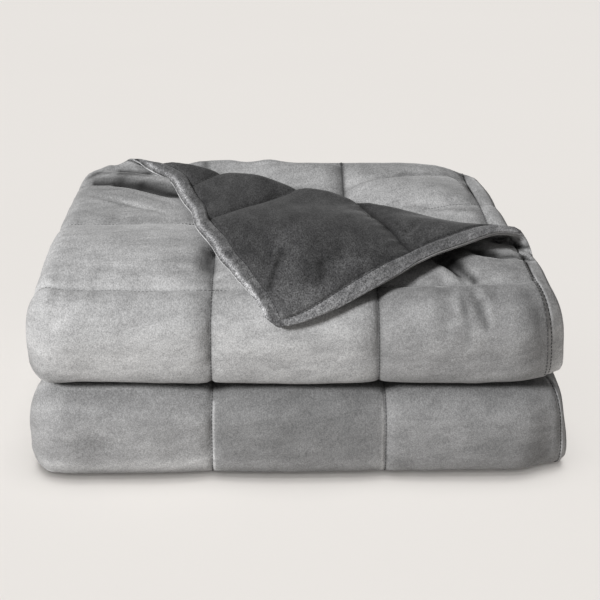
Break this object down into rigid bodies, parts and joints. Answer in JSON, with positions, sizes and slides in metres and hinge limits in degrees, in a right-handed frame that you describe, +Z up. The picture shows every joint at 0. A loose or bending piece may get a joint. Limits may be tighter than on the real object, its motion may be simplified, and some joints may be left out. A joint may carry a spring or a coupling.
{
  "type": "weighted blanket",
  "caption": "Quilted plush weighted blanket folded into a neat two-tier stack, with one corner of the top layer turned forward to show its darker reverse.",
  "frame": {"origin": "centre of the bounding box's base, on the surface the folded blanket rests on", "axes": "+X to the right along the folded stack's width, +Y to the back, +Z up; the folds that show face -Y"},
  "size_m": [0.4052, 0.3206, 0.1784],
  "materials": {
    "face_plush": "brushed plush, light silver grey",
    "reverse_plush": "brushed plush, charcoal"
  },
  "bodies": {
    "root": {"face_panel": "face_plush", "reverse_panel": "reverse_plush"}
  },
  "joints": []
}
